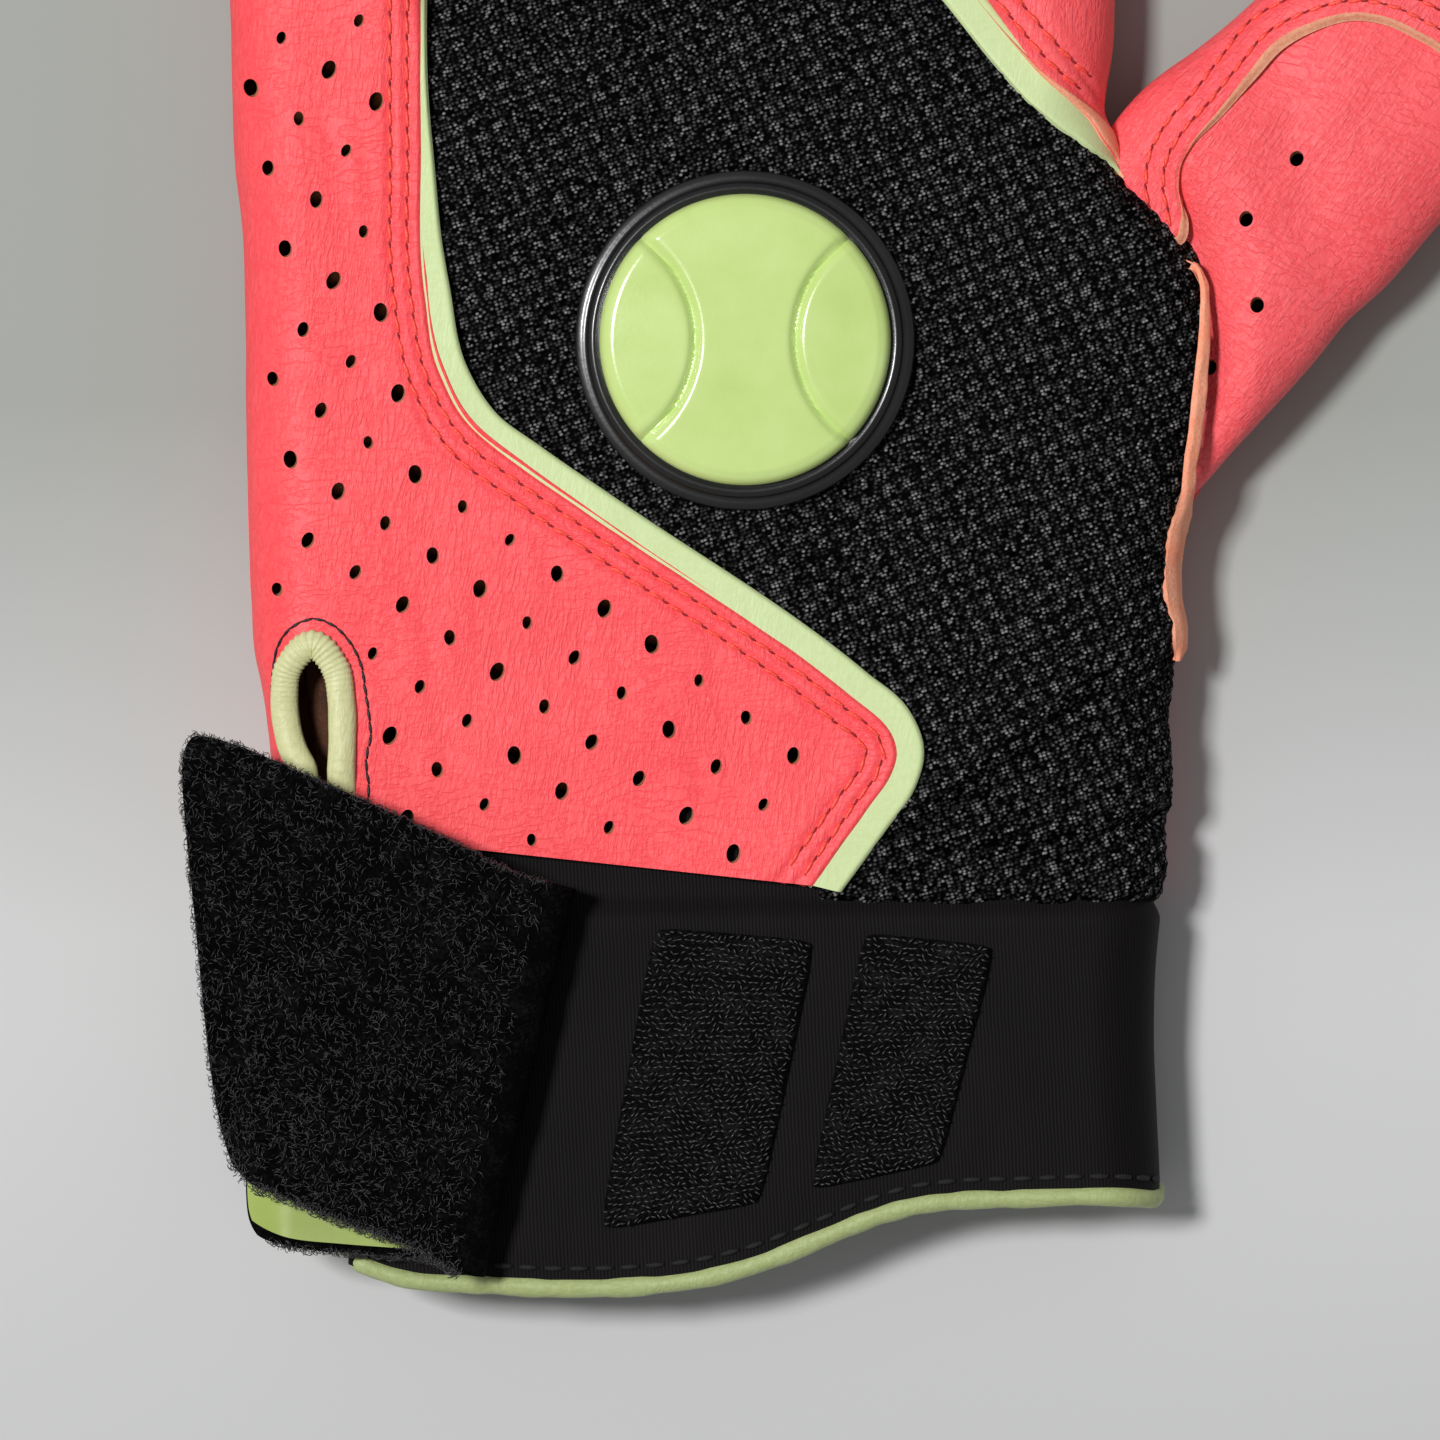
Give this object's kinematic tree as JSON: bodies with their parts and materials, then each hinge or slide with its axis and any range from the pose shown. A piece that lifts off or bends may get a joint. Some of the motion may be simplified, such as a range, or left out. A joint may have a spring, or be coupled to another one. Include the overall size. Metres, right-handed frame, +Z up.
{
  "type": "batting glove",
  "caption": "Left-hand leather batting glove with stretch mesh back, knit cuff and a peeled-open wrist strap; fingers, thumb and strap fold on hinges.",
  "frame": {"origin": "on the table under the middle of the palm, on the palm's flat rest face", "axes": "+X across the hand towards the thumb, +Y along the fingers, +Z up through the back of the hand"},
  "size_m": [0.1485, 0.2209, 0.0197],
  "materials": {
    "coral_leather": "fine grain, semi-matte",
    "lime_leather": "smooth, semi-matte",
    "raw_leather_edge": "raw cut edge",
    "black_mesh": "bumpy stretch mesh",
    "black_knit": "fine ribbed knit",
    "black_loop": "brushed loop pile",
    "hook_tape": "rows of small hooks",
    "black_moulding": "moulded, satin gloss",
    "lime_moulding": "moulded, glossy"
  },
  "bodies": {
    "hand": {"palm_panel": "coral_leather", "pinky_side_panel": "coral_leather", "index_side_panel": "coral_leather", "pinky_side_trim": "lime_leather", "index_side_trim": "lime_leather", "thumb_side_edge": "raw_leather_edge", "back_mesh_panel": "black_mesh", "badge_base": "black_moulding", "badge_insert": "lime_moulding", "cuff_back_panel": "black_knit", "cuff_palm_panel": "black_knit", "cuff_hem_binding": "lime_leather", "slit_binding": "lime_leather", "hook_patch_inner": "hook_tape", "hook_patch_outer": "hook_tape", "strap_root_face": "lime_leather", "strap_root_loop": "black_loop", "strap_fold": "black_loop"},
    "strap_flap": {"strap_flap_face": "lime_leather", "strap_flap_loop": "black_loop"},
    "little_finger": {"little_front": "coral_leather", "little_back": "coral_leather", "little_fourchette": "black_mesh"},
    "ring_finger": {"ring_front": "coral_leather", "ring_back": "coral_leather", "ring_fourchette_outer": "black_mesh", "ring_fourchette_inner": "black_mesh"},
    "middle_finger": {"middle_front": "coral_leather", "middle_back": "coral_leather", "middle_fourchette_outer": "black_mesh", "middle_fourchette_inner": "black_mesh"},
    "index_finger": {"index_front": "coral_leather", "index_back": "coral_leather", "index_fourchette": "black_mesh"},
    "thumb": {"thumb_front": "coral_leather", "thumb_back": "coral_leather", "thumb_wrap": "coral_leather"}
  },
  "joints": [
    {"name": "strap_swing", "type": "hinge", "parent": "hand", "child": "strap_flap", "pos_m": [-0.0216, -0.0635, 0.01725], "axis": [0.2296, 0.9733, 0], "range_deg": [0, 165], "deforming": ["strap_fold"]},
    {"name": "little_curl", "type": "hinge", "parent": "hand", "child": "little_finger", "pos_m": [-0.03895, 0.05165, 0], "axis": [-0.9878, -0.156, 0], "range_deg": [0, 75]},
    {"name": "ring_curl", "type": "hinge", "parent": "hand", "child": "ring_finger", "pos_m": [-0.017, 0.0543, 0], "axis": [-0.9962, -0.0866, 0], "range_deg": [0, 75]},
    {"name": "middle_curl", "type": "hinge", "parent": "hand", "child": "middle_finger", "pos_m": [0.00625, 0.0553, 0], "axis": [-1, 0, 0], "range_deg": [0, 75]},
    {"name": "index_curl", "type": "hinge", "parent": "hand", "child": "index_finger", "pos_m": [0.02865, 0.054, 0], "axis": [-0.9926, 0.1212, 0], "range_deg": [0, 75]},
    {"name": "thumb_curl", "type": "hinge", "parent": "hand", "child": "thumb", "pos_m": [0.04365, 0.0105, 0], "axis": [-0.1987, 0.9801, 0], "range_deg": [0, 50]}
  ]
}
